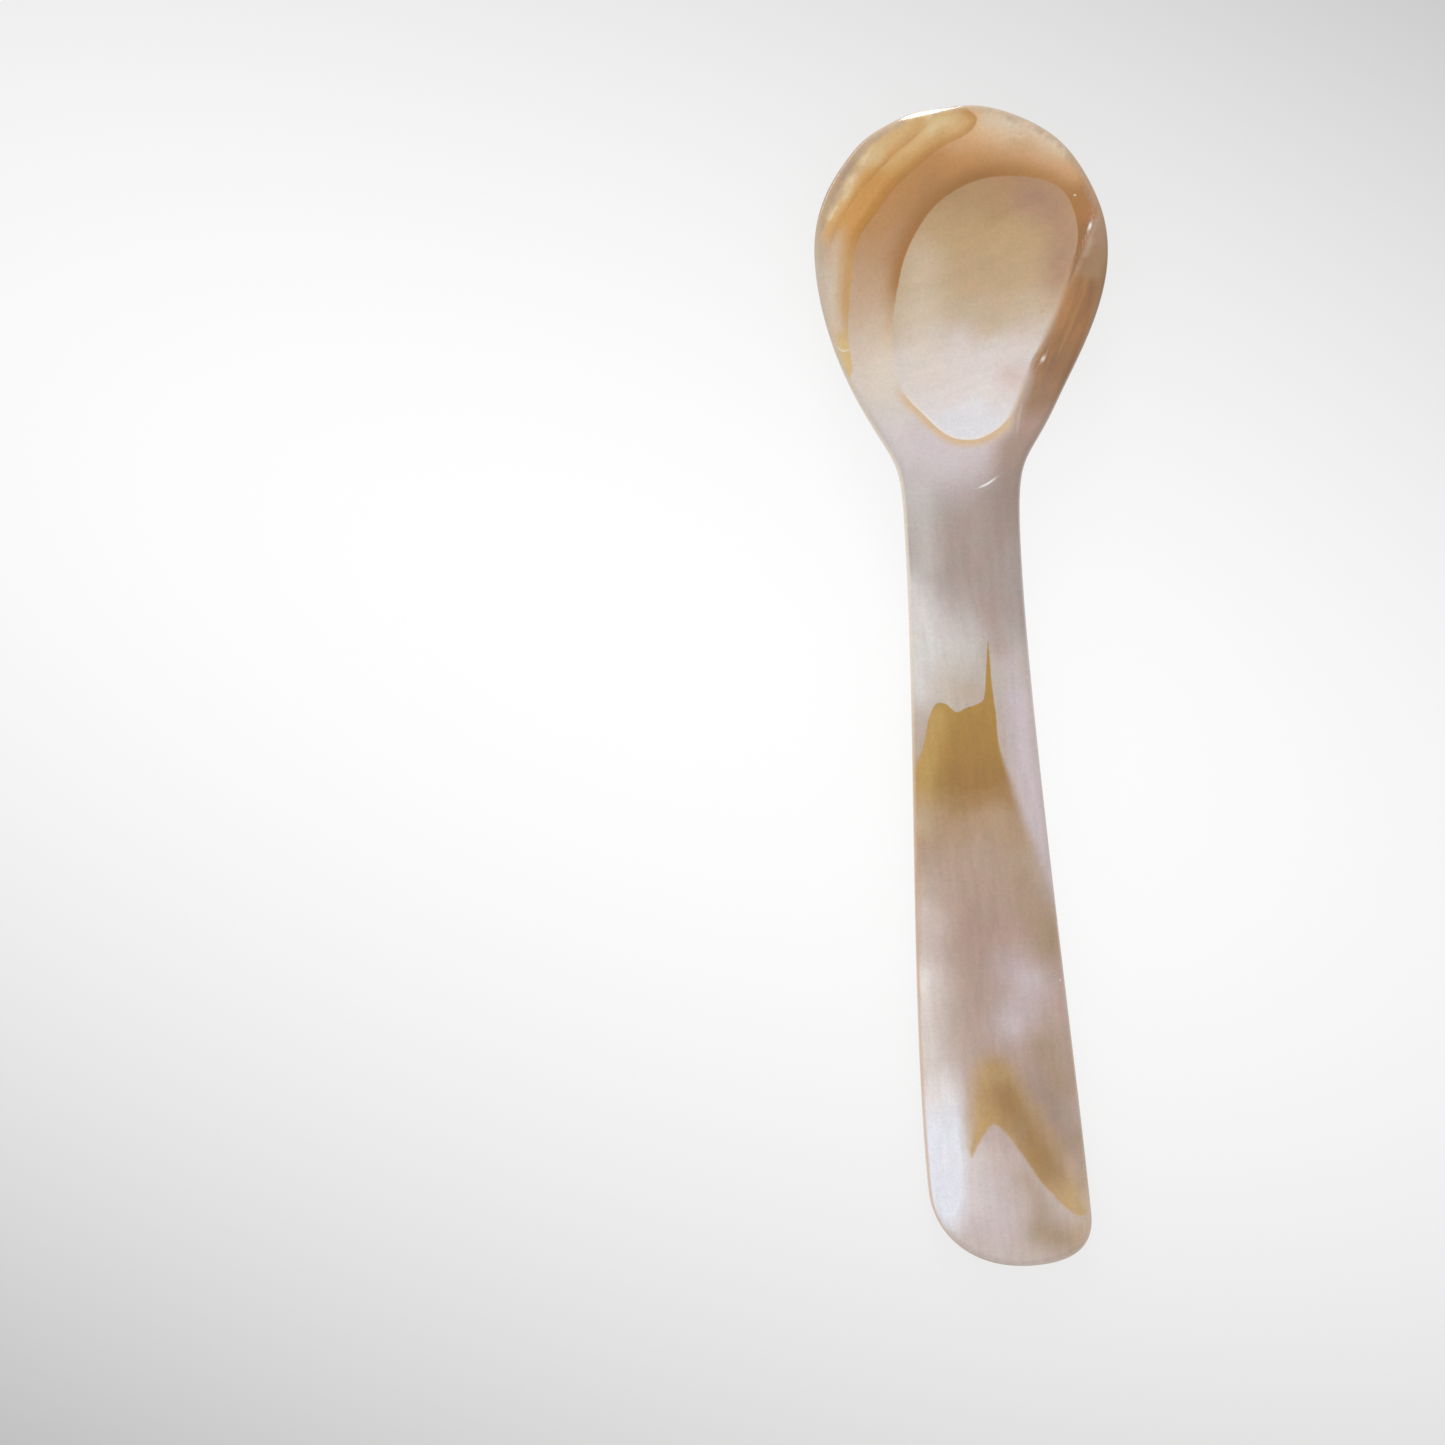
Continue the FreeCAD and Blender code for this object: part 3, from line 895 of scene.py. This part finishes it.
rim_share = bench.maths("DIVIDE", bench.maths("ADD", rim, ragged), rim_reach)
rim_share = bench.spread(rim_share, 1.15, 0.3, 0.0, 0.85)
paint = bench.mix(rim_share, paint, bench.mix(left, right_rim, left_rim))
tally("the rim")

# %% Pearly tint, grain, and marks with painted glints and a painted highlight
tint = bench.spread(bench.noise(place, 420.0, 2.0, 0.5), 0.35, 0.65)
paint = bench.mix(0.06, paint, bench.mix(tint, tone(214, 178, 168), tone(178, 184, 160)))
# The small wrinkle near the tip is a ridge in the bump and also a painted highlight in pale cream.
wrinkle_and_highlight = stroke("wrinkle", 0.35)
paint = glaze(paint, (times(wrinkle_and_highlight, 0.4), 244, 220, 190))
grain_shade = bench.spread(silk["Grain"], 0.25, 0.75, 0.935, 1.065)
mottle_shade = bench.spread(silk["Mottle"], 0.3, 0.7, -0.018, 0.018)
streak_shade = bench.maths("MULTIPLY", bench.spread(silk["Streaks"], 0.3, 0.7, -0.03, 0.03),
                           bench.spread(well, 0.0, 1.5))
fibre_shade = bench.maths("MULTIPLY", bench.spread(silk["Fibres"], 0.3, 0.7, -0.042, 0.042),
                          bench.spread(down, 480, 560))
shade = bench.maths("ADD", grain_shade, bench.maths("ADD", streak_shade, fibre_shade))
shade = bench.maths("ADD", shade, mottle_shade)
shaded = bench.node("ShaderNodeHueSaturation", Value=shade, Color=paint).outputs["Color"]
# Painted glints: the chips and these marks are painted near white where small chips and scratches
# catch the light.
marks = (("glint", 0.22, 1.0), ("bead", 0.27, 0.7), ("hair", 0.2, 0.13), ("scratch_glint", 0.15, 1.0),
         ("nick_glint", 0.14, 0.5))
painted_glint_share = bench.maths("MULTIPLY", bench.spread(bench.kept("chip_glints"), 0.22, 0.05), 0.6)
for name, wide, strength in marks:
    painted_glint_share = bench.maths("MAXIMUM", painted_glint_share, times(stroke(name, wide, 0.05), strength))
shaded = glaze(shaded, (times(painted_glint_share, 0.85), 248, 246, 244))
print("marks:", [name for name, *_ in marks])

# %% Polish, and the material on the spoon
relief = bench.maths("SUBTRACT", silk["Height"], bench.maths("ADD", crack, wrinkle_and_highlight))
relief = bench.maths("MULTIPLY", relief, bench.spread(rim, 0.5, 1.3))
bump = bench.node("ShaderNodeBump", Strength=0.2, Distance=0.00005, Height=relief)
pearl = bench.node("ShaderNodeBsdfPrincipled", Roughness=0.38, IOR=1.5, Base_Color=shaded,
                   Specular_IOR_Level=0.35, Coat_Weight=0.8, Coat_Roughness=0.08)
bench.join(bump.outputs["Normal"], pearl.inputs["Normal"])
bench.node("ShaderNodeOutputMaterial", Surface=pearl.outputs["BSDF"])
spoon.data.materials.append(shell)
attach(spoon, "root")
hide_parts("spoon")
tally("the polish")

# %% [markdown]
# ## Floor and light
# The ground of the picture is a pale sheet, white in the middle and a little greyer towards
# the corners. Its brightness is a plain formula of the place, held by the sheet's own points.
# Most of it is glow that only the camera and the polish see, so the shadow stays as faint as
# in the picture. To other rays the sheet is a plain pale one. A backdrop lit by stronger
# lamps would be white too, but those lamps would also bleach the shell.

# %% Floor
floor_reach, floor_points, picture_reach, floor_drop = 1500.0, 90, 76.0, 0.02
darkest_ground, glow_share = 0.74, 0.88
line = np.linspace(-1.0, 1.0, floor_points)
line = picture_reach * line + (floor_reach - picture_reach) * line ** 5
grid = np.meshgrid(line + eye[0], line + eye[1], indexing="ij")
floor_x, floor_y = (axis.ravel() for axis in grid)
number = np.arange(floor_points ** 2).reshape(floor_points, floor_points)
floor_faces = np.stack([number[:-1, :-1], number[1:, :-1], number[1:, 1:], number[:-1, 1:]],
                       axis=-1).reshape(-1, 4)
floor_spots = np.stack([floor_x, floor_y, np.full(floor_x.size, -floor_drop)], axis=1)
floor = skin("floor", floor_spots, floor_faces)
from_eye = (floor_spots - eye)[:, :2] / picture_reach
s = from_eye @ (math.cos(eye_turn), math.sin(eye_turn))
t = -(from_eye @ (-math.sin(eye_turn), math.cos(eye_turn)))
# s runs to the right and t down the picture, both from -1 to 1
shade = 1.0 - 0.037 * s * s - 0.116 * t * t - 0.022 * t + 0.067 * s * t
shade = np.clip(shade, darkest_ground, 1.0)
pale = floor.data.attributes.new("pale", "FLOAT", "POINT")
pale.data.foreach_set("value", ((shade + 0.055) / 1.055).astype(np.float32) ** 2.4)
print("brightness falls to", round(float(shade.min()), 2))

# %% Floor material
paper = bpy.data.materials.new("pale_ground")
bench = fresh_bench(paper)
rays = bench.node("ShaderNodeLightPath").outputs
seen = bench.maths("MAXIMUM", rays["Is Camera Ray"],
                   bench.maths("MAXIMUM", rays["Is Glossy Ray"], rays["Is Transmission Ray"]))
plain = bench.node("ShaderNodeBsdfDiffuse", Color=(0.8, 0.8, 0.8, 1.0))
lit = bench.node("ShaderNodeBsdfDiffuse", Color=bench.kept("pale"))
glow = bench.node("ShaderNodeEmission", Color=bench.kept("pale"))
both = bench.node("ShaderNodeMixShader", Fac=glow_share)
bench.join(lit.outputs[0], both.inputs[1])
bench.join(glow.outputs[0], both.inputs[2])
chosen = bench.node("ShaderNodeMixShader", Fac=seen)
bench.join(plain.outputs[0], chosen.inputs[1])
bench.join(both.outputs[0], chosen.inputs[2])
bench.node("ShaderNodeOutputMaterial", Surface=chosen.outputs[0])
floor.data.materials.append(paper)
print("share of glow:", glow_share)

# %% Sky
scene = bpy.context.scene
scene.view_settings.view_transform = "Standard"
world = bpy.data.worlds.new("studio")
scene.world = world
bench = fresh_bench(world)
rays = bench.node("ShaderNodeLightPath").outputs
sky_strength = bench.spread(rays["Is Camera Ray"], 0.0, 1.0, 0.84, 1.0)
sky = bench.node("ShaderNodeBackground", Color=(1.0, 1.0, 1.0, 1.0), Strength=sky_strength)
bench.node("ShaderNodeOutputWorld", Surface=sky.outputs[0])
print("the sky is", world.name)


# %% Lamps
def lamp(name, azimuth, height, distance, size, power):
    """Square soft lamp aimed at the bowl. Azimuth turns from the tip's direction towards the
    left side, height is the angle above the table, both in degrees, lengths in metres."""
    turn, lift = math.radians(azimuth), math.radians(height)
    data = bpy.data.lights.new(name, "AREA")
    data.size = size
    data.energy = power
    piece = bpy.data.objects.new(name, data)
    flat = distance * math.cos(lift)
    piece.location = (-flat * math.sin(turn), flat * math.cos(turn) + bowl_y * MM,
                      distance * math.sin(lift))
    piece.rotation_euler = (math.pi / 2 - lift, 0.0, turn + math.pi)
    scene.collection.objects.link(piece)


lamp("window", 4.0, 24.0, 0.7, 0.18, 1.6)
lamp("side_window", 37.0, 20.0, 0.7, 0.17, 0.6)
print("lamps", [thing.name for thing in bpy.data.lights])
